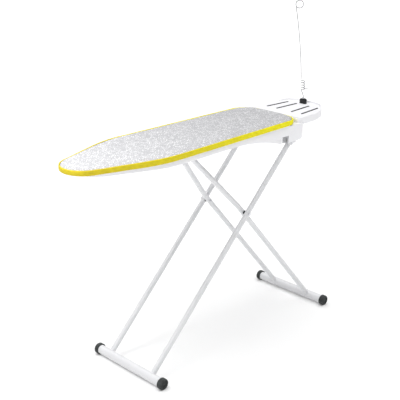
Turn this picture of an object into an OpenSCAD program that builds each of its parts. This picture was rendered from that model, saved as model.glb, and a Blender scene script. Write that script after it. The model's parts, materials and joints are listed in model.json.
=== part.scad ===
// Folding ironing board: padded board on a two-frame scissor stand, with an iron rest
// and a sprung cable guide. Millimetres, +Z up. The board runs along X, nose towards -X,
// iron rest towards +X, and the origin is on the floor under the middle of the whole object.

/* [Board] */
// Height of the padded surface above the floor
board_top = 1003; // [990:1:1010]
// Half of the widest part of the padded surface
board_half_w = 185; // [180:1:190]
// Radius of the rounded nose
nose_r = 100; // [95:1:105]
// Height of the yellow edge band
band_h = 27; // [24:1:29]

/* [Body shell] */
// Wall thickness of the moulded shell
shell_t = 3; // [2.5:0.1:3.4]
// Height of the skirt's lower edge above the floor
skirt_z = 952; // [948:1:956]
// Height of the heel housing's lower edge above the floor
heel_z = 893; // [890:1:900]

/* [Iron rest] */
// Height of the iron rest's top face above the floor
rest_z = 990; // [988:1:992]
// Height of the raised rim at the outer end
rest_rim_h = 9; // [6:1:12]

/* [Legs] */
// Diameter of the leg tubes
leg_d = 24; // [20:0.5:24]
// Half of the distance between the outer frame's tubes
outer_y = 135; // [134:1:137]
// Half of the distance between the inner frame's tubes
inner_y = 106.5; // [104:0.5:106.5]
// Diameter of the foot bars
bar_d = 40; // [36:1:42]
// Half of the foot bars' length over the end caps
bar_half = 220; // [215:1:225]
// Diameter of the rubber end caps
cap_d = 50; // [48:1:50]

/* [Cable guide] */
// Diameter of the cable guide's wire
wire_d = 3.4; // [2.5:0.1:4]
// Diameter of the spring coil, over the wire's middle
coil_d = 19; // [16:1:22]
// Diameter of the cable ring, over the wire's middle
ring_d = 37; // [30:1:40]

/* [Hidden] */

gap = 0.3;
near = -1;
far = 1;
$fn = 48;

// Plans: [nose x, nose radius, flank angle, flank end x, wide x, half width at wide x,
//         heel x, half width at the heel, heel corner radius]
board_plan = [-745, nose_r, 18.3, -500, -320, board_half_w, 463, board_half_w - 17, 88];
shell_plan = [-660, 80, 21.8, -420, -270, board_half_w - 11, 525, board_half_w - 30, 50];

// Heights of the board's layers
plate_z = board_top - 19;
plate_t = 3;
pad_z = plate_z + plate_t + gap;
pad_t = 11;
cover_z = pad_z + pad_t + gap;
band_z = board_top - band_h;
heel_deck_z = band_z - 6;
heel_step_x = 394;

// Stand: foot, crossing and hinge points in the X-Z plane
cross = [145, 611];
outer_foot = [-450, cap_d / 2];
inner_foot = [649, cap_d / 2];
outer_rise = (cross.y - outer_foot.y) / (cross.x - outer_foot.x);
hinge = [cross.x + 280, cross.y + 280 * outer_rise];
rail_z = 955;
inner_rise = (inner_foot.y - cross.y) / (inner_foot.x - cross.x);
axle = [cross.x + (rail_z - cross.y) / inner_rise, rail_z];
folded_axle_x = -417;
leg_r = leg_d / 2;
leg_wall = 1.2;
bar_wall = 1.5;
pin_r = 3.95;
pin_hole_r = 4;
axle_r = 4;
bracket_t = 2.5;
bracket_x = hinge.x - 28;
bracket_top = heel_z + 34;
top_y = 26;
roller_r = 9;
roller_y = 66;
roller_w = 10;
rail_x0 = folded_axle_x - 25;
rail_x1 = axle.x + 25;
rail_gap = 13;
rail_t = 2;

// Height latch: a rocker under the rails
latch_pivot = [0, 936];
latch_grip_at = [318, 921];
latch_pitch = 45;

// Iron rest
rest_x0 = 466;
rest_x1 = 745;
rest_floor_t = 4;
rest_skirt_z = 956;
strip_x0 = 546;
strip_x1 = 680;
strip_w = 8.5;
strip_h = 3;
strip_ends = [[105, 92], [45, 38], [-45, -38], [-105, -92]];

// Cable guide
guide = [707, 17];
block_depth = 13;
block_half_l = 17;
block_corner_r = 9;
block_z = rest_z + 25;
block_screw_y = 10.5;
guide_turn = -45;
wire_r = wire_d / 2;
coil_z0 = 1058;
coil_z1 = 1104;
coil_turns = 4;
coil_u = -4.5;
mast_tilt = 13;
mast_lean = 26;
ring_z = 1466;
ring_turns = 1.9;
wire_sides = 8;

// ---- Plan outlines ----

function arc_points(centre, r, a0, a1, n) =
    [for (i = [0:n]) let (a = a0 + (a1 - a0) * i / n) centre + r * [cos(a), sin(a)]];

function curve_points(p0, p1, p2, inset, n) =
    [for (i = [1:n])
        let (t = i / n,
             p = (1 - t) * (1 - t) * p0 + 2 * t * (1 - t) * p1 + t * t * p2,
             d = (1 - t) * (p1 - p0) + t * (p2 - p1))
        p + inset * [d.y, -d.x] / norm(d)];

function half_outline(p, inset) =
    let (nose = [p[0] + p[1], 0],
         f = p[2],
         flank0 = nose + p[1] * [-sin(f), cos(f)],
         flank1 = [p[3], flank0.y + tan(f) * (p[3] - flank0.x)],
         wide = [p[4], p[5]],
         slope = (p[7] - p[5]) / (p[6] - p[4]),
         meet_x = (wide.y - slope * wide.x - flank1.y + tan(f) * flank1.x) / (tan(f) - slope),
         meet = [meet_x, wide.y + slope * (meet_x - wide.x)],
         side_a = atan(slope),
         corner_x = p[6] - p[8],
         corner = [corner_x, wide.y + slope * (corner_x - wide.x) - p[8] / cos(side_a)])
    concat(arc_points(nose, p[1] - inset, 180, 90 + f, 12),
           [flank1 + inset * [sin(f), -cos(f)]],
           curve_points(flank1, meet, wide, inset, 6),
           arc_points(corner, p[8] - inset, 90 + side_a, 0, 8));

function mirrored(half) =
    concat(half, [for (i = [len(half) - 1:-1:1]) [half[i].x, -half[i].y]]);

module slab(p, inset, z0, z1) {
    translate([0, 0, z0])
        linear_extrude(z1 - z0)
            polygon(mirrored(half_outline(p, inset)));
}

// A block given by its lowest and highest corners
module box(a, b) {
    translate(a)
        cube(b - a);
}

// A cylinder along Y between two values of y
module y_rod(at, r, y0, y1) {
    translate([at.x, y0, at.y])
        rotate([-90, 0, 0])
            cylinder(r = r, h = y1 - y0);
}

// A cylinder from one point to another
module rod(a, b, r) {
    d = b - a;
    translate(a)
        rotate([0, acos(d.z / norm(d)), atan2(d.y, d.x)])
            cylinder(r = r, h = norm(d));
}

// ---- Board ----

module under_shell() {
    edge = concat([[-900, skirt_z], [10, skirt_z]],
                  curve_points([10, skirt_z], [200, skirt_z - 2], [350, heel_z], 0, 10),
                  [[450, heel_z]],
                  curve_points([450, heel_z], [505, heel_z], [530, heel_z + 24], 0, 6),
                  [[900, heel_z + 24], [900, 700], [-900, 700]]);
    rotate([90, 0, 0])
        linear_extrude(600, center = true)
            polygon(edge);
}

module side_notch(side) {
    x0 = hinge.x - 83;
    x1 = hinge.x - 33;
    r = 6;
    top = bracket_top + 1;
    y0 = side * 160 - 20;
    box([x0, y0, heel_z - 1], [x1, y0 + 40, top - r]);
    box([x0 + r, y0, heel_z - 1], [x1 - r, y0 + 40, top]);
    for (x = [x0 + r, x1 - r])
        y_rod([x, top - r], r, y0, y0 + 40);
}

// A shallow recess in the near side for the fingers that pull the latch grip: a spindle
// laid along the shell's straight side
module finger_scoop() {
    r = 15;
    depth = 1.7;
    half_l = 33;
    slope = (shell_plan[7] - shell_plan[5]) / (shell_plan[6] - shell_plan[4]);
    x = latch_grip_at.x + 3;
    side_y = shell_plan[5] + slope * (x - shell_plan[4]);
    translate([x, -side_y - r + depth, latch_grip_at.y - 2])
        rotate([0, 90, -atan(slope)])
            rotate_extrude()
                polygon([[0, -half_l], [r - 2 * depth, -half_l], [r, -half_l / 2],
                         [r, half_l / 2], [r - 2 * depth, half_l], [0, half_l]]);
}

module body_shell() {
    color("white")
        difference() {
            slab(shell_plan, 0, heel_z - 20, plate_z);
            box([heel_step_x, -300, heel_deck_z], [900, 300, 1100]);
            under_shell();
            difference() {
                slab(shell_plan, shell_t, heel_z - 30, plate_z - shell_t);
                box([heel_step_x - shell_t, -300, heel_deck_z - shell_t], [900, 300, 1100]);
            }
            intersection() {
                slab(shell_plan, 28, heel_z, 1100);
                box([-900, -300, 900], [heel_step_x - 25, 300, 1100]);
            }
            for (side = [near, far])
                side_notch(side);
            finger_scoop();
        }
}

module top_plate() {
    pitch = 36;
    hole = 13;
    color("gainsboro")
        difference() {
            slab(board_plan, 5, plate_z, plate_z + plate_t);
            for (i = [-16:9], j = [-3:3])
                if (i > -15 || abs(j) < 3)
                    translate([i * pitch + (j % 2) * pitch / 2, j * pitch, plate_z - 1])
                        rotate(45)
                            linear_extrude(plate_t + 2)
                                square(hole, center = true);
        }
}

module foam_pad() {
    color("lightyellow")
        slab(board_plan, 5, pad_z, pad_z + pad_t);
}

module cover() {
    color("whitesmoke")
        slab(board_plan, 4, cover_z, board_top);
}

module edge_band() {
    color("gold")
        difference() {
            slab(board_plan, 0, band_z, board_top - 1);
            slab(board_plan, 4 - gap, band_z - 1, board_top);
        }
}

module cover_elastic() {
    color("lightgray")
        difference() {
            slab(board_plan, 4, plate_z - 6, plate_z - 1);
            slab(board_plan, 8, plate_z - 7, plate_z);
        }
}

module slide_rail(side) {
    y1 = roller_y + roller_w + 5;
    z0 = rail_z - rail_gap;
    z1 = rail_z + rail_gap;
    profile = [
        [roller_y - 1, z0 - rail_t], [y1, z0 - rail_t], [y1, plate_z - rail_t],
        [y1 + 16, plate_z - rail_t], [y1 + 16, plate_z], [y1 - rail_t, plate_z],
        [y1 - rail_t, z1 + rail_t], [roller_y - 1, z1 + rail_t], [roller_y - 1, z1],
        [y1 - rail_t, z1], [y1 - rail_t, z0], [roller_y - 1, z0]];
    color("silver")
        translate([rail_x0, 0, 0])
            rotate([90, 0, 90])
                linear_extrude(rail_x1 - rail_x0)
                    polygon([for (q = profile) [side * q.x, q.y]]);
}

module slide_rail_near() {
    slide_rail(near);
}

module slide_rail_far() {
    slide_rail(far);
}

// Rivet heads that hold the rails and the latch bracket up to the steel plate
module rail_rivets() {
    y = roller_y + roller_w + 13;
    color("darkgray") {
        for (x = [rail_x0 + 20, (rail_x0 + rail_x1) / 2, rail_x1 - 20], side = [near, far])
            translate([x, side * y, plate_z - rail_t - 2])
                cylinder(r = 4, h = 2);
        for (side = [near, far])
            translate([latch_pivot.x, side * 13, plate_z - 4])
                cylinder(r = 4, h = 2);
    }
}

module latch_bracket() {
    color("silver")
        difference() {
            union() {
                for (side = [near, far]) {
                    box([latch_pivot.x - 10, side * 4.1 - 1, latch_pivot.y],
                        [latch_pivot.x + 10, side * 4.1 + 1, plate_z]);
                    y_rod(latch_pivot, 10, side * 4.1 - 1, side * 4.1 + 1);
                    box([latch_pivot.x - 10, side * 12 - 8, plate_z - 2],
                        [latch_pivot.x + 10, side * 12 + 8, plate_z]);
                }
            }
            y_rod(latch_pivot, 3, -10, 10);
        }
}

module latch_pin() {
    color("darkgray") {
        y_rod(latch_pivot, 3, -6, 6);
        y_rod(latch_pivot, 5, -7.5, -5.1);
        y_rod(latch_pivot, 5, 5.1, 7.5);
    }
}

// Inverted channel that holds a leg's top between its cheeks, with a riser up to the deck
module hinge_bracket(side) {
    inner = leg_r + 1.9;
    outer = inner + bracket_t;
    riser_x = hinge.x - 8;
    end_x = hinge.x + 26;
    top = heel_deck_z - shell_t;
    color("white")
        difference() {
            union() {
                for (s = [-1, 1]) {
                    y = side * outer_y + s * (inner + bracket_t / 2);
                    box([bracket_x, y - bracket_t / 2, hinge.y - 4],
                        [end_x, y + bracket_t / 2, bracket_top]);
                    box([riser_x, y - bracket_t / 2, hinge.y], [end_x, y + bracket_t / 2, top]);
                    y_rod(hinge, 12, y - bracket_t / 2, y + bracket_t / 2);
                }
                box([bracket_x, side * outer_y - outer, bracket_top - bracket_t],
                    [end_x, side * outer_y + outer, bracket_top]);
                box([riser_x, side * outer_y - outer, top - bracket_t],
                    [end_x, side * outer_y + outer, top]);
            }
            y_rod(hinge, pin_r, side * outer_y - 30, side * outer_y + 30);
        }
}

module hinge_bracket_near() {
    hinge_bracket(near);
}

module hinge_bracket_far() {
    hinge_bracket(far);
}

// Dark edging round the mouth of each hinge bracket
module bracket_trims() {
    inner = leg_r + 0.9;
    outer = leg_r + 1.9 + bracket_t;
    color("dimgray")
        for (side = [near, far])
            difference() {
                box([bracket_x - 4, side * outer_y - outer, hinge.y - 4],
                    [bracket_x, side * outer_y + outer, bracket_top]);
                box([bracket_x - 5, side * outer_y - inner, hinge.y - 5],
                    [bracket_x + 1, side * outer_y + inner, bracket_top - outer + inner]);
            }
}

module hinge_bolts() {
    grip = leg_r + 4.4;
    color("silver")
        for (side = [near, far]) {
            y_rod(hinge, pin_r, side * outer_y - grip, side * outer_y + grip);
            y_rod(hinge, 7, side * outer_y + grip, side * outer_y + grip + 2.2);
            y_rod(hinge, 7, side * outer_y - grip - 2.2, side * outer_y - grip);
        }
}

module hinge_washers() {
    color("white")
        for (side = [near, far], s = [-1, 1])
            difference() {
                y = side * outer_y + s * (leg_r + 1.1);
                y_rod(hinge, 9, y - 0.75, y + 0.75);
                y_rod(hinge, pin_hole_r, y - 2, y + 2);
            }
}

module shell_screws() {
    color("silver")
        for (x = [-480, -200, 100, 370], side = [near, far])
            translate([x, side * (x < -400 ? 112 : 151), plate_z - shell_t - 2.5])
                cylinder(r = 4.5, h = 2.5);
}

// ---- Iron rest ----

// Half outline of the tray. Its far outer corner is squarer than the near one.
function rest_half(side, inset) =
    let (p0 = side > 0 ? [672, 133] : [600, 143],
         p1 = side > 0 ? [738, 127] : [712, 124],
         p2 = side > 0 ? [738, 66] : [738, 50],
         q0 = p0 - inset * [0.5, 1],
         q1 = p1 - inset * [1, 1],
         q2 = p2 - inset * [1, 0.5],
         x1 = rest_x1 - inset)
    concat([[rest_x0 + inset, 148 - inset]],
           [for (i = [0:8]) let (t = i / 8) (1 - t) * (1 - t) * q0 + 2 * t * (1 - t) * q1 + t * t * q2],
           [[x1 - 2, 34]]);

module rest_slab(inset, z0, z1) {
    far_half = rest_half(far, inset);
    near_half = rest_half(near, inset);
    last = len(near_half) - 1;
    translate([0, 0, z0])
        linear_extrude(z1 - z0)
            polygon(concat(far_half, [[rest_x1 - inset, 0]],
                           [for (i = [last:-1:0]) [near_half[i].x, -near_half[i].y]]));
}

module strip_bar(i, extra, z0, z1) {
    a = [strip_x0, strip_ends[i][0]];
    b = [strip_x1, strip_ends[i][1]];
    w = strip_w + 2 * extra;
    translate([a.x, a.y, z0])
        rotate(atan2(b.y - a.y, b.x - a.x)) {
            translate([0, -w / 2, 0])
                cube([norm(b - a), w, z1 - z0]);
            for (x = [0, norm(b - a)])
                translate([x, 0, 0])
                    cylinder(r = w / 2, h = z1 - z0);
        }
}

module iron_rest() {
    wall = 3.5;
    color("white")
        difference() {
            union() {
                rest_slab(0, rest_skirt_z, rest_z);
                intersection() {
                    rest_slab(0, rest_z, rest_z + rest_rim_h);
                    translate([628, 0, rest_z])
                        rotate([0, -8, 0])
                            box([0, -200, -60], [200, 200, 0.01]);
                }
            }
            rest_slab(wall, rest_skirt_z - 1, rest_z - rest_floor_t);
            rest_slab(11, rest_z, rest_z + 40);
            box([rest_x0 - 1, -200, rest_skirt_z - 1], [shell_plan[6] + 1, 200, heel_deck_z]);
            for (i = [0:3])
                strip_bar(i, 0, rest_z - 1, rest_z + 1);
            for (y = [-block_screw_y, block_screw_y])
                translate([guide.x, guide.y + y, rest_z - 10])
                    cylinder(r = 2, h = 12);
        }
}

module heat_strip(i) {
    color("black")
        strip_bar(i, 0, rest_z - 1, rest_z - 1 + strip_h);
}

module heat_strip_1() {
    heat_strip(0);
}

module heat_strip_2() {
    heat_strip(1);
}

module heat_strip_3() {
    heat_strip(2);
}

module heat_strip_4() {
    heat_strip(3);
}

module rest_arm(side) {
    color("silver")
        difference() {
            box([rest_x0 + 12, side * 72 - 10, heel_deck_z],
                [688, side * 72 + 10, rest_z - rest_floor_t]);
            box([rest_x0, side * 72 - 8.5, heel_deck_z + 1.5],
                [800, side * 72 + 8.5, rest_z - rest_floor_t - 1.5]);
        }
}

module rest_arm_near() {
    rest_arm(near);
}

module rest_arm_far() {
    rest_arm(far);
}

module rest_screws() {
    color("silver") {
        for (x = [490, 510], side = [near, far])
            translate([x, side * 72, heel_deck_z - shell_t - 2.5])
                cylinder(r = 4.5, h = 2.5);
        for (x = [560, 660], side = [near, far])
            translate([x, side * 72, heel_deck_z - 2.5])
                cylinder(r = 4.5, h = 2.5);
    }
}

// ---- Cable guide ----

module guide_block() {
    r = block_corner_r;
    x0 = guide.x - block_depth / 2;
    x1 = guide.x + block_depth / 2;
    round_y = block_half_l - r;
    color("black")
        difference() {
            union() {
                box([x0, guide.y - block_half_l, rest_z], [x1, guide.y + block_half_l, block_z - r]);
                box([x0, guide.y - round_y, rest_z], [x1, guide.y + round_y, block_z]);
                for (y = [-round_y, round_y])
                    translate([x0, guide.y + y, block_z - r])
                        rotate([0, 90, 0])
                            cylinder(r = r, h = block_depth);
            }
            translate([guide.x, guide.y, rest_z + 3])
                cylinder(r = 4.05, h = 40);
            for (y = [-block_screw_y, block_screw_y])
                translate([guide.x, guide.y + y, rest_z - 1])
                    cylinder(r = 2, h = 11);
        }
}

module guide_block_screws() {
    color("silver")
        for (y = [-block_screw_y, block_screw_y])
            translate([guide.x, guide.y + y, 0]) {
                translate([0, 0, rest_z - rest_floor_t])
                    cylinder(r = 2, h = rest_floor_t + 9);
                translate([0, 0, rest_z - rest_floor_t - 2.5])
                    cylinder(r = 4, h = 2.5);
            }
}

module guide_swivel() {
    color("silver")
        translate([guide.x, guide.y, 0]) {
            translate([0, 0, rest_z + 3 + gap])
                cylinder(r = 4, h = block_z - rest_z - 3);
            translate([0, 0, block_z + gap])
                cylinder(r = 6, h = 3.7);
            translate([0, 0, block_z + 4])
                cylinder(r = 3.2, h = 6);
        }
}

// Sweeps a round wire of radius r along a list of points
function unit(v) = v / norm(v);

function path_dir(path, i) =
    unit(path[min(i + 1, len(path) - 1)] - path[max(i - 1, 0)]);

function ring_points(path, i, r, n) =
    let (d = path_dir(path, i),
         ref = abs(d.z) > 0.9 ? [cos(guide_turn + 90), sin(guide_turn + 90), 0] : [0, 0, 1],
         a = unit(ref - (ref * d) * d),
         b = cross_product(d, a))
    [for (k = [0:n - 1]) path[i] + r * (cos(360 * k / n) * a + sin(360 * k / n) * b)];

function cross_product(a, b) =
    [a.y * b.z - a.z * b.y, a.z * b.x - a.x * b.z, a.x * b.y - a.y * b.x];

module wire(path, r, n) {
    last = len(path) - 1;
    points = [for (i = [0:last]) each ring_points(path, i, r, n)];
    sides = [for (i = [0:last - 1], k = [0:n - 1])
        let (m = (k + 1) % n) [i * n + k, i * n + m, (i + 1) * n + m, (i + 1) * n + k]];
    ends = [[for (k = [n - 1:-1:0]) k], [for (k = [0:n - 1]) last * n + k]];
    polyhedron(points = points, faces = [for (f = concat(sides, ends)) [for (j = [len(f) - 1:-1:0]) f[j]]],
               convexity = 10);
}

// The guide's own upright plane, turned about the block: u runs across it, v runs through it
function in_guide(u, v, z) =
    [guide.x + u * cos(guide_turn) - v * sin(guide_turn),
     guide.y + u * sin(guide_turn) + v * cos(guide_turn), z];

coil_r = coil_d / 2;

function coil_point(t) =
    let (a = 180 + 360 * coil_turns * t)
    in_guide(coil_u + coil_r * cos(a), coil_r * sin(a), coil_z0 + (coil_z1 - coil_z0) * t);

module guide_coil() {
    steps = 16 * coil_turns;
    foot_u = coil_u - coil_r;
    stem = [in_guide(0, 0, block_z + 10), in_guide(0.1 * foot_u, 0, coil_z0 - 26),
            in_guide(0.4 * foot_u, 0, coil_z0 - 14), in_guide(0.75 * foot_u, 0, coil_z0 - 6)];
    color("silver")
        wire(concat(stem, [for (i = [0:steps]) coil_point(i / steps)]), wire_r, wire_sides);
}

// A clip with a stub that hangs on the coil's lowest turn and takes a loop of the cord
module cord_hook() {
    clip_r = 3.6;
    clip_w = 4;
    u = coil_u + coil_r;
    z = coil_z0 + (coil_z1 - coil_z0) / coil_turns / 2;
    color("silver")
        difference() {
            union() {
                translate(in_guide(u, clip_w / 2, z))
                    rotate([90, 0, guide_turn])
                        cylinder(r = clip_r, h = clip_w);
                translate(in_guide(u, 0, z))
                    rotate([0, 90, guide_turn])
                        cylinder(r = 1.4, h = 15);
            }
            translate(in_guide(u, clip_w, z))
                rotate([90, 0, guide_turn])
                    cylinder(r = wire_r + 0.6, h = 2 * clip_w);
        }
}

// The mast rises from the coil's last turn, leans over and ends in a pigtail ring
module guide_mast() {
    foot_u = coil_u - coil_r;
    top_u = foot_u - mast_tilt - mast_lean;
    centre_u = top_u + ring_d / 2;
    mast_z = coil_z1 + wire_d + gap;
    rise = ring_z - mast_z;
    upright = [for (i = [0:10])
        let (t = i / 10) in_guide(foot_u - mast_tilt * t - mast_lean * t * t, 0, mast_z + rise * t)];
    steps = ceil(24 * ring_turns);
    pigtail = [for (i = [1:steps])
        let (t = i / steps, a = 180 - 360 * ring_turns * t)
        in_guide(centre_u + ring_d / 2 * cos(a), 1.3 * wire_d * t * ring_turns,
                 ring_z + ring_d / 2 * sin(a))];
    color("silver")
        wire(concat(upright, pigtail), wire_r, wire_sides);
}

// ---- Outer leg frame ----

module outer_leg(side) {
    y = side * outer_y;
    a = [outer_foot.x, y, outer_foot.y];
    h = [hinge.x, y, hinge.y];
    b = h + 14 * unit(h - a);
    color("white")
        difference() {
            rod(a, b, leg_r);
            rod(a - unit(b - a), b - 2 * unit(b - a), leg_r - leg_wall);
            y_rod(outer_foot, bar_d / 2, y - 20, y + 20);
            y_rod(cross, pin_hole_r, y - 20, y + 20);
            y_rod(hinge, pin_hole_r, y - 20, y + 20);
        }
}

module outer_leg_near() {
    outer_leg(near);
}

module outer_leg_far() {
    outer_leg(far);
}

module foot_bar(at) {
    y = bar_half - 15;
    color("white")
        difference() {
            y_rod(at, bar_d / 2, -y, y);
            y_rod(at, bar_d / 2 - bar_wall, -y - 1, y + 1);
        }
}

module outer_foot_bar() {
    foot_bar(outer_foot);
}

module inner_foot_bar() {
    foot_bar(inner_foot);
}

// End cap: a dished disc with a collar over the bar and a plug inside it
module foot_cap(at, side) {
    color("black")
        translate([at.x, side * (bar_half - 15), at.y])
            rotate([-90 * side, 0, 0])
                difference() {
                    union() {
                        translate([0, 0, -7])
                            cylinder(r = cap_d / 2, h = 18);
                        translate([0, 0, 10])
                            cylinder(r1 = cap_d / 2, r2 = cap_d / 2 - 3, h = 5);
                    }
                    difference() {
                        translate([0, 0, -8])
                            cylinder(r = bar_d / 2 + 0.02, h = 8);
                        translate([0, 0, -9])
                            cylinder(r = bar_d / 2 - bar_wall - 0.05, h = 10);
                    }
                    translate([0, 0, -9])
                        cylinder(r = bar_d / 2 - 5, h = 12);
                    translate([0, 0, 12])
                        cylinder(r = cap_d / 2 - 6, h = 5);
                }
}

module outer_cap_near() {
    foot_cap(outer_foot, near);
}

module outer_cap_far() {
    foot_cap(outer_foot, far);
}

module inner_cap_near() {
    foot_cap(inner_foot, near);
}

module inner_cap_far() {
    foot_cap(inner_foot, far);
}

// Crossing bolts: head outside the outer tube, nut inside the inner tube
head_y = outer_y + leg_r;
nut_y = inner_y - leg_r;

module pivot_bolts() {
    color("silver")
        for (side = [near, far]) {
            lo = side > 0 ? nut_y - 7 : -head_y;
            hi = side > 0 ? head_y : 7 - nut_y;
            y_rod(cross, pin_r, lo, hi);
            y_rod(cross, 7, side > 0 ? head_y : -head_y - 4, side > 0 ? head_y + 4 : -head_y);
        }
}

module pivot_nuts() {
    color("silver")
        for (side = [near, far])
            translate([cross.x, side * (nut_y - 3.2), cross.y])
                rotate([90, 0, 0])
                    difference() {
                        cylinder(r = 7.5, h = 5, center = true, $fn = 6);
                        cylinder(r = pin_r, h = 9, center = true);
                    }
}

module pivot_spacers() {
    lo = inner_y + leg_r + 0.35;
    hi = outer_y - leg_r;
    color("black")
        for (side = [near, far])
            difference() {
                y_rod(cross, 10, side > 0 ? lo : -hi, side > 0 ? hi : -lo);
                y_rod(cross, pin_r, -200, 200);
            }
}

// ---- Inner leg frame ----

// Tube of radius r from a to c with its corner at b, where a ball a hair larger joins the two
module bent_rod(a, b, c, r) {
    rod(a, b, r);
    translate(b)
        sphere(r + 0.2, $fn = 64);
    rod(b, c, r);
}

module inner_leg(side) {
    y = side * inner_y;
    a = [inner_foot.x, y, inner_foot.y];
    up = unit([axle.x, y, axle.y] - a);
    bend = [cross.x, y, cross.y] + 34 * up;
    top = [axle.x, side * top_y, axle.y];
    end = top + 14 * unit(top - bend);
    color("white")
        difference() {
            bent_rod(a, bend, end, leg_r);
            bent_rod(a - up, bend, end - 2 * unit(top - bend), leg_r - leg_wall);
            y_rod(inner_foot, bar_d / 2, y - 20, y + 20);
            y_rod(cross, pin_hole_r, y - 20, y + 20);
            y_rod(axle, axle_r, side * top_y - 25, side * top_y + 25);
        }
}

module inner_leg_near() {
    inner_leg(near);
}

module inner_leg_far() {
    inner_leg(far);
}

module top_axle() {
    end = roller_y + roller_w + 2.4;
    color("silver")
        y_rod(axle, axle_r, -end, end);
}

// Spring clips that keep the rollers on the axle, one each side of each roller
module axle_clips() {
    color("darkgray")
        for (side = [near, far], y = [roller_y - 0.9, roller_y + roller_w + 0.9])
            difference() {
                y_rod(axle, 6.5, side * y - 0.6, side * y + 0.6);
                y_rod(axle, axle_r, side * y - 2, side * y + 2);
            }
}

module roller(side) {
    y0 = side > 0 ? roller_y : -roller_y - roller_w;
    color("ivory")
        difference() {
            y_rod(axle, roller_r, y0, y0 + roller_w);
            y_rod(axle, axle_r + 0.08, y0 - 1, y0 + roller_w + 1);
        }
}

module roller_near() {
    roller(near);
}

module roller_far() {
    roller(far);
}

// ---- Height latch ----

module latch_bar() {
    low = latch_pivot.y - 10;
    tooth = rail_z - axle_r - 0.6;
    teeth_end = axle.x - 5 * latch_pitch - 12;
    color("silver")
        difference() {
            union() {
                box([teeth_end, -2, low + 2], [latch_pivot.x, 2, tooth]);
                box([latch_pivot.x, -2, low + 2], [latch_grip_at.x + 8, 2, low + 12]);
                y_rod(latch_pivot, 9, -2, 2);
                box([latch_grip_at.x - 8, -2, low - 14], [latch_grip_at.x + 8, 2, low + 12]);
            }
            for (i = [0:5])
                y_rod([axle.x - i * latch_pitch, tooth - 1], axle_r + 1.4, -5, 5);
            for (i = [0:4])
                box([axle.x - i * latch_pitch - latch_pitch + 12, -5, tooth - 5],
                    [axle.x - i * latch_pitch - 12, 5, tooth + 5]);
            y_rod(latch_pivot, 3.05, -5, 5);
            y_rod(latch_grip_at, 4, -5, 5);
        }
}

module latch_arm() {
    color("silver")
        y_rod(latch_grip_at, 4, -120, 4);
}

module latch_grip() {
    x = latch_grip_at.x;
    z = latch_grip_at.y;
    color("lightgray")
        difference() {
            union() {
                box([x - 28, -146, z - 5], [x + 28, -96, z + 6]);
                for (s = [-1, 1])
                    y_rod([x + s * 28, z + 0.5], 5.5, -146, -96);
            }
            y_rod(latch_grip_at, 4, -120, -90);
        }
}

body_shell();
top_plate();
foam_pad();
cover();
edge_band();
cover_elastic();
slide_rail_near();
slide_rail_far();
rail_rivets();
latch_bracket();
latch_pin();
hinge_bracket_near();
hinge_bracket_far();
bracket_trims();
hinge_bolts();
hinge_washers();
shell_screws();
iron_rest();
heat_strip_1();
heat_strip_2();
heat_strip_3();
heat_strip_4();
rest_arm_near();
rest_arm_far();
rest_screws();
guide_block();
guide_block_screws();
outer_leg_near();
outer_leg_far();
outer_foot_bar();
outer_cap_near();
outer_cap_far();
pivot_bolts();
pivot_nuts();
pivot_spacers();
inner_leg_near();
inner_leg_far();
inner_foot_bar();
inner_cap_near();
inner_cap_far();
top_axle();
axle_clips();
roller_near();
roller_far();
latch_bar();
latch_arm();
latch_grip();
guide_swivel();
guide_coil();
cord_hook();
guide_mast();
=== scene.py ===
"""Looks of the folding ironing board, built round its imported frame. Metres, +Z up, nose towards -X."""
import json
import math

import bmesh
import bpy
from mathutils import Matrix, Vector, geometry, noise


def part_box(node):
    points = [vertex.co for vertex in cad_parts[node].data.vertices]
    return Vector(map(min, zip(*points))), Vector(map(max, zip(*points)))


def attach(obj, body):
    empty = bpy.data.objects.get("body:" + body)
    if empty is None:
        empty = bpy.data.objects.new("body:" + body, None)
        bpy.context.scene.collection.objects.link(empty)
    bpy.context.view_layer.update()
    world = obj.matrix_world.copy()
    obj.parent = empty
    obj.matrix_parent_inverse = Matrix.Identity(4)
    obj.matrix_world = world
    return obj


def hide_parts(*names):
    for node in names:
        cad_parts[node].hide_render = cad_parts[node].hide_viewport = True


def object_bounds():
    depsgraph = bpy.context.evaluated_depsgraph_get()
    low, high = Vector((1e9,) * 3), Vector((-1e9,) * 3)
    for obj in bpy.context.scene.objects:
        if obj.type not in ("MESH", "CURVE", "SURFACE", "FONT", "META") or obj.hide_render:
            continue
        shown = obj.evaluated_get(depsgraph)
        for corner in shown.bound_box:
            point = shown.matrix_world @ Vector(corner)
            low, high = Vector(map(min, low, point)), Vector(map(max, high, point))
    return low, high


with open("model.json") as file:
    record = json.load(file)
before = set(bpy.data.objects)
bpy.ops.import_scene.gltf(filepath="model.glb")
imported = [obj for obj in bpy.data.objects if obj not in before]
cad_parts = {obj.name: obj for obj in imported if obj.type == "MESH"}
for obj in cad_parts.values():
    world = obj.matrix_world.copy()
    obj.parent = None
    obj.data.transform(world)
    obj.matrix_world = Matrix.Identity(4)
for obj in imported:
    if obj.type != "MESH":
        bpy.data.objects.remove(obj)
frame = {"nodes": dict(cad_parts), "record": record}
cad_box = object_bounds()
nodes = frame["nodes"]
scene = bpy.context.scene

WELD = 0.00001            # vertices nearer than this are joined into one
SMOOTHING_ROUNDS = 5      # passes that ease the corners of a traced outline
SIM_START = 1             # first and last frame of the cloth simulation
SIM_END = 20
SIM_PRESSURE = 4.0
PAD_INSET = 0.0030        # the pad starts this far inside its binding
PAD_SWELL = 0.0018        # no point of the pad moves further than this as it swells
PAD_VOXEL = 0.0055
RUCKS = 55                # noise cells a metre along the binding
WIRE_SWELL = 0.00016      # makes up for what subdivision takes off a wire
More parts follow.
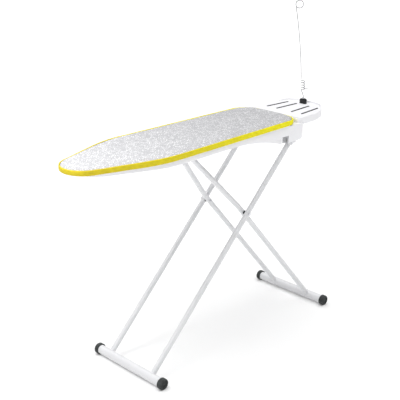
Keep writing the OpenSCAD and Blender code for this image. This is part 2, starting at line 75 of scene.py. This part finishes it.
# How far the edges of these CAD nodes are rounded.
ROUNDED = {
    "body_shell": 0.0012, "guide_block": 0.0014, "latch_grip": 0.0014,
    "heat_strip_1": 0.0008, "heat_strip_2": 0.0008, "heat_strip_3": 0.0008, "heat_strip_4": 0.0008,
    # bracket_trims: grey strips that stand in for the shadow in the gaps round the hinge brackets
    "hinge_bracket_near": 0.0005, "hinge_bracket_far": 0.0005, "bracket_trims": 0.0005,
    "cord_hook": 0.0004,
}


# ---------------------------------------------------------------- camera, floor and light

AZIMUTH = math.radians(44.93)
ELEVATION = math.radians(20.39)
CAMERA_DISTANCE = 3.866
AIM_FROM_MIDDLE = Vector((-0.0247, -0.0055, -0.0573))
LENS_MM = 78.66
SENSOR_MM = 36.0
NEAREST_SEEN = 0.05
FARTHEST_SEEN = 400
# Brightness of the sky that lights the scene, low down and overhead, and the heights (0 to 1)
# between which one turns into the other. The camera sees it as plain white.
SURROUND = 0.325
SOFTBOX = 2.06
SOFTBOX_EDGE = 0.55
SOFTBOX_FULL = 0.9
BACKDROP = 1.0
LAMP_PLACE = (-1.05, 0.1, 1.9)
LAMP_AIM = (-0.85, 0, 1.0)
LAMP_SIZE = 0.8
LAMP_WATTS = 11.4
# Half the floor's side, and how much it glows under the object and away from it.
FLOOR_REACH = 90
NEAR_GLOW = 0.1
FLOOR_GLOW = 0.24
NEAR_GLOW_ENDS = 0.4
FLOOR_GLOW_STARTS = 1.5


def make_camera():
    """A camera beyond the nose, on the near side, that looks down at the whole object."""
    low, high = cad_box
    aim = (low + high) / 2 + AIM_FROM_MIDDLE
    ahead = Vector((
        math.sin(AZIMUTH) * math.cos(ELEVATION),
        math.cos(AZIMUTH) * math.cos(ELEVATION),
        -math.sin(ELEVATION),
    ))
    data = bpy.data.cameras.new("camera")
    data.lens = LENS_MM
    data.sensor_width = SENSOR_MM
    data.clip_start = NEAREST_SEEN
    data.clip_end = FARTHEST_SEEN
    camera = bpy.data.objects.new("camera", data)
    camera.location = aim - CAMERA_DISTANCE * ahead
    camera.rotation_euler = (math.pi / 2 - ELEVATION, 0, -AZIMUTH)
    scene.collection.objects.link(camera)
    scene.camera = camera


def make_lamp():
    """A weak round lamp over the nose, which the camera doesn't see."""
    data = bpy.data.lights.new("nose_lamp", "AREA")
    data.shape = "DISK"
    data.size = LAMP_SIZE
    data.energy = LAMP_WATTS
    lamp = bpy.data.objects.new("nose_lamp", data)
    lamp.location = LAMP_PLACE
    lamp.rotation_euler = (Vector(LAMP_AIM) - Vector(LAMP_PLACE)).to_track_quat("-Z", "Y").to_euler()
    lamp.visible_camera = False
    scene.collection.objects.link(lamp)


def make_sky():
    """A wide softbox overhead and a dim surround, which the camera sees as plain white."""
    world = bpy.data.worlds.new("studio")
    world.use_nodes = True
    tree = world.node_tree
    direction = tree.nodes.new("ShaderNodeTexCoord")
    height = tree.nodes.new("ShaderNodeSeparateXYZ")
    softbox = tree.nodes.new("ShaderNodeMapRange")
    softbox.interpolation_type = "SMOOTHSTEP"
    softbox.inputs["From Min"].default_value = SOFTBOX_EDGE
    softbox.inputs["From Max"].default_value = SOFTBOX_FULL
    softbox.inputs["To Min"].default_value = SURROUND
    softbox.inputs["To Max"].default_value = SOFTBOX
    tree.links.new(direction.outputs["Generated"], height.inputs["Vector"])
    tree.links.new(height.outputs["Z"], softbox.inputs["Value"])
    ray = tree.nodes.new("ShaderNodeLightPath")
    seen = tree.nodes.new("ShaderNodeMix")
    seen.inputs["B"].default_value = BACKDROP
    tree.links.new(ray.outputs["Is Camera Ray"], seen.inputs["Factor"])
    tree.links.new(softbox.outputs["Result"], seen.inputs["A"])
    tree.links.new(seen.outputs["Result"], tree.nodes["Background"].inputs["Strength"])
    tree.nodes["Background"].inputs["Color"].default_value = (1, 1, 1, 1)
    scene.world = world
    scene.view_settings.view_transform = "Standard"


def make_floor():
    """A pale floor that glows a little, and less so under the object, where the shadows fall."""
    corners = [(x * FLOOR_REACH, y * FLOOR_REACH, 0) for x, y in ((-1, -1), (1, -1), (1, 1), (-1, 1))]
    mesh = bpy.data.meshes.new("floor")
    mesh.from_pydata(corners, [], [(0, 1, 2, 3)])
    floor = bpy.data.objects.new("floor", mesh)
    scene.collection.objects.link(floor)
    white = plain_material("floor", (0.85, 0.85, 0.85), 0.9)
    tree = white.node_tree
    place = tree.nodes.new("ShaderNodeTexCoord")
    away = tree.nodes.new("ShaderNodeVectorMath")
    away.operation = "LENGTH"
    spread = tree.nodes.new("ShaderNodeMapRange")
    spread.interpolation_type = "SMOOTHSTEP"
    spread.inputs["From Min"].default_value = NEAR_GLOW_ENDS
    spread.inputs["From Max"].default_value = FLOOR_GLOW_STARTS
    spread.inputs["To Min"].default_value = NEAR_GLOW
    spread.inputs["To Max"].default_value = FLOOR_GLOW
    tree.links.new(place.outputs["Object"], away.inputs[0])
    tree.links.new(away.outputs["Value"], spread.inputs["Value"])
    shader = tree.nodes["Principled BSDF"].inputs
    shader["Emission Color"].default_value = (1, 1, 1, 1)
    tree.links.new(spread.outputs["Result"], shader["Emission Strength"])
    floor.data.materials.append(white)


# ---------------------------------------------------------------- material helpers


def plain_material(name, colour, roughness):
    material = bpy.data.materials.new(name)
    material.use_nodes = True
    shader = material.node_tree.nodes["Principled BSDF"]
    shader.inputs["Base Color"].default_value = (*colour, 1)
    shader.inputs["Roughness"].default_value = roughness
    return material


class Shader:
    """A material whose nodes are added one call at a time, measured in the object's own metres."""

    def __init__(self, name, roughness, metallic=0.0, **sockets):
        self.material = bpy.data.materials.new(name)
        self.material.use_nodes = True
        self.tree = self.material.node_tree
        self.surface = self.tree.nodes["Principled BSDF"]
        self.surface.inputs["Roughness"].default_value = roughness
        self.surface.inputs["Metallic"].default_value = metallic
        for key, value in sockets.items():
            self.surface.inputs[key.replace("_", " ")].default_value = value
        self.place = self.add("ShaderNodeTexCoord").outputs["Object"]

    def add(self, kind, settings=(), **inputs):
        made = self.tree.nodes.new(kind)
        for key, value in dict(settings).items():
            setattr(made, key, value)
        for key, value in inputs.items():
            self.feed(made.inputs[key.replace("_", " ")], value)
        return made

    def feed(self, socket, value):
        if isinstance(value, bpy.types.NodeSocket):
            self.tree.links.new(value, socket)
        else:
            socket.default_value = value

    def noise(self, scale, detail=2.0, stretch=(1, 1, 1)):
        """Cloudy noise from 0 to 1, of scale cells a metre, times stretch along each axis."""
        place = self.add("ShaderNodeVectorMath", {"operation": "MULTIPLY"})
        self.feed(place.inputs[0], self.place)
        place.inputs[1].default_value = stretch
        cloud = self.add("ShaderNodeTexNoise", Vector=place.outputs[0], Scale=scale, Detail=detail)
        return cloud.outputs["Fac"]

    def ramp(self, value, *stops):
        """Colours by value; a stop is (position, colour)."""
        made = self.add("ShaderNodeValToRGB", Fac=value)
        elements = made.color_ramp.elements
        while len(elements) < len(stops):
            elements.new(0.5)
        for element, (position, colour) in zip(elements, stops):
            element.position = position
            element.color = (*colour, 1)
        return made.outputs["Color"]

    def math(self, operation, a, b=0.0):
        made = self.add("ShaderNodeMath", {"operation": operation})
        self.feed(made.inputs[0], a)
        self.feed(made.inputs[1], b)
        return made.outputs[0]

    def mix(self, factor, a, b, blend="MIX"):
        made = self.add("ShaderNodeMix", {"data_type": "RGBA", "blend_type": blend})
        self.feed(made.inputs["Factor"], factor)
        self.feed(made.inputs[6], a)
        self.feed(made.inputs[7], b)
        return made.outputs[2]

    def range(self, value, low, high, out_low, out_high):
        """Maps low to high onto out_low to out_high."""
        return self.add("ShaderNodeMapRange", Value=value, From_Min=low, From_Max=high,
                        To_Min=out_low, To_Max=out_high).outputs["Result"]

    def colour(self, value):
        self.feed(self.surface.inputs["Base Color"], value)

    def roughness(self, value):
        self.feed(self.surface.inputs["Roughness"], value)

    def bump(self, height, depth, strength=1.0):
        """Raises the surface by height (0 to 1) times depth in metres, on top of earlier bumps."""
        made = self.add("ShaderNodeBump", Height=height, Distance=depth, Strength=strength)
        normal = self.surface.inputs["Normal"]
        if normal.links:
            self.feed(made.inputs["Normal"], normal.links[0].from_socket)
        self.feed(normal, made.outputs["Normal"])

    def weave(self, pitch, depth):
        """A plain weave: two sets of threads, pitch apart, that cross under and over each other."""
        axes = self.add("ShaderNodeSeparateXYZ", Vector=self.place)
        turns = 2 * math.pi / pitch
        across = self.math("SINE", self.math("MULTIPLY", axes.outputs["X"], turns))
        along = self.math("SINE", self.math("MULTIPLY", axes.outputs["Y"], turns))
        upright = self.math("SINE", self.math("MULTIPLY", axes.outputs["Z"], turns))
        cross = self.math("MULTIPLY", across, along)
        height = self.math("ADD", self.math("MULTIPLY", cross, 0.5), self.math("MULTIPLY", upright, 0.25))
        self.bump(self.math("ADD", height, 0.5), depth)
        return height


def grey(level):
    return (level, level, level)


# ---------------------------------------------------------------- materials, one per slot


def white_paint():
    """Gloss white powder coat with its fine orange peel."""
    s = Shader("white_paint", 0.3, Coat_Weight=0.25, Coat_Roughness=0.18)
    cloud = s.noise(7, 3)
    s.colour(s.ramp(cloud, (0.3, (0.74, 0.745, 0.76)), (0.7, (0.78, 0.78, 0.795))))
    s.roughness(s.range(s.noise(60, 3), 0.3, 0.7, 0.26, 0.38))
    s.bump(s.noise(700, 2), 0.00005, 0.4)
    return s.material


def white_plastic():
    """Satin moulded plastic with a fine spark texture and faint flow shading."""
    s = Shader("white_plastic", 0.42)
    flow = s.noise(3.5, 3, (1, 2.4, 2.4))
    s.colour(s.ramp(flow, (0.3, (0.87, 0.868, 0.9)), (0.7, (0.905, 0.903, 0.925))))
    s.roughness(s.range(s.noise(90, 2), 0.3, 0.7, 0.38, 0.5))
    s.bump(s.noise(1500, 2), 0.00005, 0.5)
    return s.material


def zinc_steel():
    """Zinc-plated sheet and bolts: soft spangle, thin drawing lines and dull patches."""
    s = Shader("zinc_steel", 0.34, 1.0)
    spangle = s.add("ShaderNodeTexVoronoi", Vector=s.place, Scale=160.0).outputs["Distance"]
    s.colour(s.ramp(spangle, (0.0, (0.6, 0.61, 0.63)), (0.8, (0.74, 0.75, 0.77))))
    s.roughness(s.range(s.noise(40, 4), 0.3, 0.7, 0.26, 0.46))
    s.bump(s.noise(900, 2, (0.05, 1, 1)), 0.00003, 0.4)
    return s.material


def mesh_steel():
    """Light grey paint on the perforated steel plate."""
    s = Shader("mesh_steel", 0.45)
    s.colour(s.ramp(s.noise(12, 3), (0.3, (0.66, 0.67, 0.68)), (0.7, (0.73, 0.74, 0.75))))
    s.roughness(s.range(s.noise(80, 3), 0.3, 0.7, 0.38, 0.55))
    s.bump(s.noise(800, 2), 0.00006, 0.4)
    return s.material


def black_plastic():
    """Moulded black plastic with a pebbled grain, its black and its gloss varying a little in cloudy
    patches.
    """
    s = Shader("black_plastic", 0.5, Specular_IOR_Level=0.25)
    grain = s.add("ShaderNodeTexVoronoi", Vector=s.place, Scale=1100.0).outputs["Distance"]
    s.colour(s.ramp(s.noise(70, 4), (0.35, (0.012, 0.013, 0.015)), (0.75, (0.028, 0.029, 0.032))))
    s.roughness(s.range(s.noise(120, 3), 0.3, 0.7, 0.42, 0.6))
    s.bump(grain, 0.00008, 0.6)
    return s.material


def black_rubber():
    """Matt black rubber with a dusty bloom and scuffs."""
    s = Shader("black_rubber", 0.7)
    scuffs = s.noise(45, 5, (1, 0.3, 1))
    s.colour(s.ramp(scuffs, (0.4, (0.022, 0.025, 0.025)), (0.72, (0.06, 0.068, 0.068))))
    s.roughness(s.range(scuffs, 0.3, 0.7, 0.55, 0.8))
    s.bump(s.noise(500, 3), 0.0001, 0.5)
    return s.material


def grey_plastic():
    """Moulded light grey plastic of the latch grip, and of the bracket trims, grey strips that stand in
    for the shadow in the gaps round the hinge brackets.
    """
    s = Shader("grey_plastic", 0.45)
    s.colour(s.ramp(s.noise(30, 3), (0.3, (0.5, 0.51, 0.53)), (0.7, (0.58, 0.59, 0.61))))
    s.roughness(s.range(s.noise(90, 3), 0.3, 0.7, 0.4, 0.55))
    s.bump(s.noise(1200, 2), 0.00006, 0.5)
    return s.material


def nylon():
    """Milky natural nylon, slightly see-through at its edges."""
    s = Shader("nylon", 0.38, Subsurface_Weight=0.15, Subsurface_Scale=0.003)
    s.colour(s.ramp(s.noise(50, 3), (0.3, (0.78, 0.77, 0.7)), (0.7, (0.86, 0.85, 0.8))))
    s.bump(s.noise(900, 2), 0.00005, 0.4)
    return s.material


def cover_fabric():
    """Cotton with a fine mosaic print: off-white pebbles on light grey, over a plain weave."""
    s = Shader("cover_fabric", 0.85, Sheen_Weight=0.15, Sheen_Roughness=0.5)
    pebbles = 115.0
    warp = s.add("ShaderNodeVectorMath", {"operation": "ADD"})
    s.feed(warp.inputs[0], s.place)
    drift = s.add("ShaderNodeTexNoise", Vector=s.place, Scale=70.0, Detail=2.0).outputs["Color"]
    small = s.add("ShaderNodeVectorMath", {"operation": "SCALE"}, Scale=0.006)
    s.feed(small.inputs[0], drift)
    s.feed(warp.inputs[1], small.outputs[0])
    cell = s.add("ShaderNodeTexVoronoi", {"feature": "DISTANCE_TO_EDGE", "voronoi_dimensions": "2D"},
                 Vector=warp.outputs[0], Scale=pebbles)
    tone = s.add("ShaderNodeTexVoronoi", {"voronoi_dimensions": "2D"},
                 Vector=warp.outputs[0], Scale=pebbles)
    pebble = s.ramp(cell.outputs["Distance"], (0.1, grey(0.0)), (0.22, grey(1.0)))
    lightness = s.ramp(s.add("ShaderNodeSeparateColor", Color=tone.outputs["Color"]).outputs[0],
                       (0.25, (0.47, 0.47, 0.485)), (0.75, (0.735, 0.735, 0.745)))
    printed = s.mix(pebble, (0.35, 0.35, 0.365, 1), lightness)
    threads = s.weave(0.0009, 0.00018)
    # painted shade: the print is darker in the low spots of the weave and lighter on the thread tops
    shade = s.range(threads, -0.75, 0.75, 0.93, 1.05)
    s.colour(s.mix(1.0, printed, shade, "MULTIPLY"))
    s.bump(s.noise(9, 3), 0.0012, 0.3)
    return s.material


def yellow_fabric():
    """Yellow cotton edging: a dense weave, blotched a little, with painted shade that darkens it and
    turns it more orange towards the nose, and painted shade in the low spots of its weave.
    """
    s = Shader("yellow_fabric", 0.8, Sheen_Weight=0.04, Sheen_Roughness=0.45, Specular_IOR_Level=0.15)
    axes = s.add("ShaderNodeSeparateXYZ", Vector=s.place)
    # painted shade: the yellow is darkest and most orange at the nose and clears towards the heel
    nose_shade_fade = s.range(axes.outputs["X"], -0.7, 0.45, 0.0, 1.0)
    base = s.mix(nose_shade_fade, (0.7, 0.56, 0.03, 1), (1.0, 0.92, 0.012, 1))
    threads = s.weave(0.0008, 0.0002)
    patches = s.range(s.noise(55, 4), 0.3, 0.7, 0.9, 1.06)
    # shade holds the cloth's own random blotches times painted shade: darker in the low spots of the
    # weave, lighter on the thread tops
    shade = s.math("MULTIPLY", patches, s.range(threads, -0.75, 0.75, 0.93, 1.05))
    s.colour(s.mix(1.0, base, shade, "MULTIPLY"))
    return s.material


def elastic():
    """Ribbed white elastic, with painted shade that greys the low spots of its weave."""
    s = Shader("elastic", 0.8, Sheen_Weight=0.2)
    threads = s.weave(0.0014, 0.0003)
    # painted shade: darker in the low spots of the weave, lighter on the thread tops
    s.colour(s.ramp(s.math("ADD", threads, 0.5), (0.0, (0.66, 0.66, 0.64)), (1.0, (0.82, 0.82, 0.8))))
    return s.material


def foam():
    """Cream open-cell foam, with painted shade in its pores."""
    s = Shader("foam", 0.95)
    pores = s.add("ShaderNodeTexVoronoi", Vector=s.place, Scale=700.0).outputs["Distance"]
    # painted shade: each pore is darker towards its middle, where the bump sinks it
    s.colour(s.ramp(pores, (0.0, (0.55, 0.53, 0.42)), (0.6, (0.8, 0.78, 0.68))))
    s.bump(pores, 0.0005)
    return s.material


def wire_steel():
    """Drawn spring wire, with lines along its upright stretch."""
    s = Shader("wire_steel", 0.24, 1.0)
    s.colour(s.ramp(s.noise(90, 4), (0.3, (0.3, 0.305, 0.32)), (0.7, (0.46, 0.46, 0.475))))
    s.roughness(s.range(s.noise(160, 3), 0.3, 0.7, 0.18, 0.36))
    s.bump(s.noise(1400, 2, (1, 1, 0.04)), 0.00003, 0.4)
    return s.material


FINISHES = {
    f.__name__: f for f in (
        white_paint, white_plastic, zinc_steel, mesh_steel, black_plastic, black_rubber,
        grey_plastic, nylon, cover_fabric, yellow_fabric, elastic, foam, wire_steel)
}
SLOT_OF = {part["node"]: part["material_slot"] for part in frame["record"]["subparts"]}
materials = {}
body_of_node = {n: b for b, names in frame["record"]["behaviour"]["bodies"].items() for n in names}


def finish_for(slot):
    if slot not in materials:
        materials[slot] = FINISHES[slot]()
    return materials[slot]


def paint_frame():
    """Gives every CAD node the material of its slot."""
    for name, piece in nodes.items():
        piece.data.materials.clear()
        piece.data.materials.append(finish_for(SLOT_OF[name]))


# ---------------------------------------------------------------- pieces


def make_piece(name, mesh, body, slot, replaced=()):
    piece = bpy.data.objects.new(name, mesh)
    scene.collection.objects.link(piece)
    mesh.materials.clear()
    mesh.materials.append(finish_for(slot))
    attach(piece, body)
    if replaced:
        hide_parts(*replaced)
    return piece


def apply_modifiers(piece):
    """Bakes the modifiers of a piece into its mesh."""
    graph = bpy.context.evaluated_depsgraph_get()
    mesh = bpy.data.meshes.new_from_object(piece.evaluated_get(graph))
    piece.modifiers.clear()
    piece.data = mesh


def smooth_below(mesh, degrees):
    """Smooth shading, with edges kept sharp where faces meet at more than this angle."""
    mesh.polygons.foreach_set("use_smooth", [True] * len(mesh.polygons))
    mesh.set_sharp_from_angle(angle=math.radians(degrees))


def rounded_copy(node, radius):
    """A copy of a CAD node with softly rounded edges, which stands for it."""
    source = bmesh.new()
    source.from_mesh(nodes[node].data)
    bmesh.ops.remove_doubles(source, verts=source.verts, dist=WELD)
    bmesh.ops.dissolve_limit(source, angle_limit=math.radians(1), verts=source.verts, edges=source.edges)
    mesh = bpy.data.meshes.new(node + "_rounded")
    source.to_mesh(mesh)
    source.free()
    piece = bpy.data.objects.new("rounding", mesh)
    scene.collection.objects.link(piece)
    bevel = piece.modifiers.new("bevel", "BEVEL")
    bevel.width = radius
    bevel.segments = 3
    bevel.limit_method = "ANGLE"
    bevel.angle_limit = math.radians(50)
    bevel.use_clamp_overlap = True
    apply_modifiers(piece)
    mesh = piece.data
    bpy.data.objects.remove(piece)
    smooth_below(mesh, 35)
    make_piece(node + "_rounded", mesh, body_of_node[node], SLOT_OF[node], (node,))


def softened_wire(node):
    """A smooth round wire in place of a CAD sweep: its rings are swollen a little, then subdivided."""
    source = bmesh.new()
    source.from_mesh(nodes[node].data)
    bmesh.ops.remove_doubles(source, verts=source.verts, dist=WELD)
    bmesh.ops.join_triangles(source, faces=source.faces, angle_face_threshold=math.pi,
                             angle_shape_threshold=math.pi)
    source.normal_update()
    for vertex in source.verts:
        vertex.co += vertex.normal * WIRE_SWELL
    mesh = bpy.data.meshes.new(node + "_wire")
    source.to_mesh(mesh)
    source.free()
    piece = make_piece(node + "_wire", mesh, body_of_node[node], SLOT_OF[node], (node,))
    piece.modifiers.new("round", "SUBSURF").levels = 1
    apply_modifiers(piece)
    smooth_below(piece.data, 60)


# ---------------------------------------------------------------- outlines and sweeps


def outline_of(node, spacing):
    """Evenly spaced points round a CAD node seen from above, with their outward directions."""
    flat = [vertex.co.xy for vertex in nodes[node].data.vertices]
    corners = [flat[i] for i in geometry.convex_hull_2d(flat)]
    turns = sum(a.x * b.y - b.x * a.y for a, b in zip(corners, corners[1:] + corners[:1]))
    if turns < 0:
        corners.reverse()
    lengths = [(b - a).length for a, b in zip(corners, corners[1:] + corners[:1])]
    count = round(sum(lengths) / spacing)
    ring, edge, passed = [], 0, 0.0
    for i in range(count):
        target = i * sum(lengths) / count
        while passed + lengths[edge] < target:
            passed += lengths[edge]
            edge += 1
        start, end = corners[edge], corners[(edge + 1) % len(corners)]
        ring.append(start.lerp(end, (target - passed) / lengths[edge]))
    for _ in range(SMOOTHING_ROUNDS):
        ring = [(a + 2 * b + c) / 4 for a, b, c in zip(ring[-1:] + ring[:-1], ring, ring[1:] + ring[:1])]
    outward = []
    for a, c in zip(ring[-1:] + ring[:-1], ring[1:] + ring[:1]):
        along = (c - a).normalized()
        outward.append(Vector((along.y, -along.x)))
    return list(zip(ring, outward))


def loft(name, outline, section, closed):
    """Sweeps section(point, outward) = [(inset, z), ...] round an outline.

    A closed section makes a ring like a tyre. An open one is capped by a face at each end.
    """
    verts = []
    for point, outward in outline:
        for inset, z in section(point, outward):
            verts.append((*(point - outward * inset), z))
    around, deep = len(outline), len(verts) // len(outline)
    faces = []
    for i in range(around):
        j = (i + 1) % around
        for k in range(deep if closed else deep - 1):
            m = (k + 1) % deep
            faces.append((i * deep + k, j * deep + k, j * deep + m, i * deep + m))
    if not closed:
        faces.append([i * deep for i in reversed(range(around))])
        faces.append([i * deep + deep - 1 for i in range(around)])
    mesh = bpy.data.meshes.new(name)
    mesh.from_pydata(verts, [], faces)
    outside = bmesh.new()
    outside.from_mesh(mesh)
    bmesh.ops.recalc_face_normals(outside, faces=outside.faces)
    outside.to_mesh(mesh)
    outside.free()
    return mesh


def strip_section(path, thick):
    """A thin closed section: a path of (inset, z) points and back again, thick apart."""
    back = []
    for i, (inset, z) in enumerate(path):
        before, after = path[max(i - 1, 0)], path[min(i + 1, len(path) - 1)]
        along = Vector((after[0] - before[0], after[1] - before[1])).normalized()
        back.append((inset - along.y * thick, z + along.x * thick))
    return list(path) + back[::-1]


# ---------------------------------------------------------------- soft pieces


def swell(piece, most, pinned):
    """Inflates a closed piece by cloth simulation, and eases each point's move to below most."""
    home = [vertex.co.copy() for vertex in piece.data.vertices]
    pins = piece.vertex_groups.new(name="pins")
    pins.add([i for i, co in enumerate(home) if pinned(co)], 1.0, "REPLACE")
    cloth = piece.modifiers.new("cloth", "CLOTH")
    cloth.settings.vertex_group_mass = "pins"
    cloth.settings.use_pressure = True
    cloth.settings.uniform_pressure_force = SIM_PRESSURE
    cloth.settings.effector_weights.gravity = 0
    cloth.point_cache.frame_start = SIM_START
    cloth.point_cache.frame_end = SIM_END
    for number in range(SIM_START, SIM_END + 1):
        scene.frame_set(number)
    apply_modifiers(piece)
    scene.frame_set(SIM_START)
    piece.vertex_groups.clear()
    for vertex, start in zip(piece.data.vertices, home):
        move = vertex.co - start
        if move.length > 0:
            vertex.co = start + move * (most * math.tanh(move.length / most) / move.length)


def padded_cover():
    """The foam pad in its cotton cover: a remeshed slab swollen by cloth simulation."""
    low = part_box("foam_pad")[0].z
    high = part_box("cover")[1].z - PAD_SWELL
    outline = outline_of("edge_band", 0.012)
    mesh = loft("padded_cover", outline, lambda *_: [
        (PAD_INSET + 0.003, low), (PAD_INSET, low + 0.003), (PAD_INSET, high - 0.004),
        (PAD_INSET + 0.0012, high - 0.0012), (PAD_INSET + 0.004, high)], closed=False)
    piece = make_piece("padded_cover", mesh, "board", "cover_fabric", ("foam_pad", "cover"))
    remesh = piece.modifiers.new("remesh", "REMESH")
    remesh.mode = "VOXEL"
    remesh.voxel_size = PAD_VOXEL
    apply_modifiers(piece)
    swell(piece, PAD_SWELL, lambda co: co.z < low + 0.002)
    piece.modifiers.new("fine", "SUBSURF").levels = 1
    apply_modifiers(piece)
    smooth_below(piece.data, 180)
    return piece


def edge_binding():
    """The yellow binding: folded over the pad's rim, round the edge and under it, rucked below."""
    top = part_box("cover")[1].z
    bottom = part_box("edge_band")[0].z
    tall = top - bottom
    cloth = 0.0008
    rim_drop = 0.0012
    heel_drop = 0.0040
    nose_drop = 0.0024
    nose_starts = -0.45
    nose_eases_over = 0.2

    def section(point, outward):
        ruck = noise.noise(Vector((point.x * RUCKS, point.y * RUCKS, 0)))
        fold = noise.noise(Vector((point.x * RUCKS / 4, point.y * RUCKS / 4, 5)))
        at_heel = max(outward.x, 0) ** 0.5
        at_nose = min(max(nose_starts - point.x, 0) / nose_eases_over, 1)
        rim = top - rim_drop - (heel_drop * at_heel + nose_drop * at_nose)
        path = [(0.0060, rim - 0.0036), (0.0048, rim - 0.0010), (0.0032, rim),
                (0.0018, rim - 0.0006), (0.0007, rim - 0.0022), (0.0002, rim - 0.0045)]
        for share in (0.4, 0.6, 0.78, 0.9):
            slack = share ** 3
            inset = slack * (0.0009 * ruck + 0.0008 * fold) + 0.0012 * share ** 8
            path.append((inset, top - share * tall))
        path.append((0.0022 + 0.0008 * ruck, bottom + 0.0006 * (1 + fold)))
        path.append((0.0045 + 0.0008 * ruck, bottom + 0.0008 * (1 + fold)))
        return strip_section(path, cloth)

    outline = outline_of("edge_band", 0.004)
    mesh = loft("edge_binding", outline, section, closed=True)
    piece = make_piece("edge_binding", mesh, "board", "yellow_fabric", ("edge_band",))
    piece.modifiers.new("fine", "SUBSURF").levels = 1
    apply_modifiers(piece)
    smooth_below(piece.data, 180)


def gathered_hem():
    """The elastic hem, gathered under the plate's edge."""
    low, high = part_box("cover_elastic")
    gather_pitch = 0.011

    def section(point, _):
        gather = math.sin(math.tau * (point.x + 1.7 * point.y) / gather_pitch)
        tuck = noise.noise(Vector((point.x * 40, point.y * 40, 9)))
        wave = 0.0006 * gather + 0.0005 * tuck
        return strip_section([
            (0.0034, high.z - 0.0002), (0.0030, low.z + 0.0018), (0.0042, low.z + 0.0004 + wave),
            (0.0060, low.z - 0.0002 + wave), (0.0076, low.z + 0.0009 + wave), (0.0084, low.z + 0.0026),
            (0.0082, high.z - 0.0004)], 0.0007)

    outline = outline_of("edge_band", 0.003)
    mesh = loft("gathered_hem", outline, section, closed=True)
    piece = make_piece("gathered_hem", mesh, "board", "elastic", ("cover_elastic",))
    smooth_below(piece.data, 180)


# ---------------------------------------------------------------- hard pieces


def rest_tray():
    """The iron rest: a moulded tray with a thick rounded lip that rises towards its outer end."""
    low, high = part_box("iron_rest")
    strips_stand = 0.002
    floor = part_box("heat_strip_1")[1].z - strips_stand
    skirt_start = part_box("body_shell")[1].x - 0.016
    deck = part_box("rest_arm_near")[0].z
    lip_start = low.x + 0.162
    lip_slope = math.tan(math.radians(8))
    wall = 0.0035

    def section(point, _):
        skirt = low.z if point.x > skirt_start else deck
        rise = min(max((point.x - lip_start) * lip_slope, 0.0), high.z - floor)
        top = floor + rise
        return [
            (wall + 0.001, floor - 0.004), (wall, floor - 0.0055), (wall, skirt + 0.0006),
            (wall - 0.0008, skirt), (0.0008, skirt), (0, skirt + 0.0008),
            (0, top - 0.0025), (0.0007, top - 0.0008), (0.0022, top), (0.0048, top),
            (0.0061, floor + 0.88 * rise), (0.0068, floor + 0.3 * rise), (0.0082, floor + 0.06 * rise),
            (0.0115, floor)]

    outline = outline_of("iron_rest", 0.004)
    mesh = loft("rest_tray", outline, section, closed=False)
    piece = make_piece("rest_tray", mesh, "board", SLOT_OF["iron_rest"], ("iron_rest",))
    smooth_below(piece.data, 38)


def lathe(name, profile, centre, direction, segments=72):
    """Turns (radius, along) points about a line through centre, and closes the ends."""
    turn = Vector((0, 0, 1)).rotation_difference(direction)
    verts = []
    for i in range(segments):
        angle = math.tau * i / segments
        for radius, along in profile:
            spoke = Vector((radius * math.cos(angle), radius * math.sin(angle), along))
            verts.append(centre + turn @ spoke)
    deep = len(profile)
    faces = []
    for i in range(segments):
        here, there = i * deep, (i + 1) % segments * deep
        faces += [(here + k, there + k, there + k + 1, here + k + 1) for k in range(deep - 1)]
    mesh = bpy.data.meshes.new(name)
    mesh.from_pydata(verts, [], faces)
    solid = bmesh.new()
    solid.from_mesh(mesh)
    bmesh.ops.remove_doubles(solid, verts=solid.verts, dist=WELD / 10)
    bmesh.ops.recalc_face_normals(solid, faces=solid.faces)
    solid.to_mesh(mesh)
    solid.free()
    return mesh


def rubber_cap(node):
    """A foot cap: a soft collar over the bar, a rolled rim and a dished face with a hub."""
    low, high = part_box(node)
    middle = (low + high) / 2
    side = 1 if middle.y > 0 else -1
    radius = (high.z - low.z) / 2
    long = high.y - low.y
    bore = radius - 0.0048
    socket = 0.0072
    profile = [
        (0, socket), (bore, socket), (bore, 0.0004), (bore + 0.0006, 0), (radius - 0.0016, 0),
        (radius - 0.0004, 0.0004), (radius, 0.0014), (radius, long - 0.0056),
        (radius - 0.0004, long - 0.0034), (radius - 0.0018, long - 0.0012),
        (radius - 0.0036, long - 0.0001), (radius - 0.0052, long - 0.0004),
        (radius - 0.0062, long - 0.0018), (radius - 0.0068, long - 0.0046),
        (radius - 0.0085, long - 0.0058), (radius - 0.0120, long - 0.0060),
        (0.0078, long - 0.0062), (0.0064, long - 0.0050), (0.0050, long - 0.0038),
        (0.0030, long - 0.0036), (0, long - 0.0036)]
    start = Vector((middle.x, low.y if side > 0 else high.y, middle.z))
    mesh = lathe(node + "_rubber", profile, start, Vector((0, side, 0)))
    piece = make_piece(node + "_rubber", mesh, body_of_node[node], SLOT_OF[node], (node,))
    smooth_below(piece.data, 50)


# ---------------------------------------------------------------- the scene

make_camera()
make_sky()
make_lamp()
make_floor()
paint_frame()
pad = padded_cover()
edge_binding()
gathered_hem()
rest_tray()
for node, radius in ROUNDED.items():
    rounded_copy(node, radius)
for node in ("outer_cap_near", "outer_cap_far", "inner_cap_near", "inner_cap_far"):
    rubber_cap(node)
for node in ("guide_coil", "guide_mast"):
    softened_wire(node)
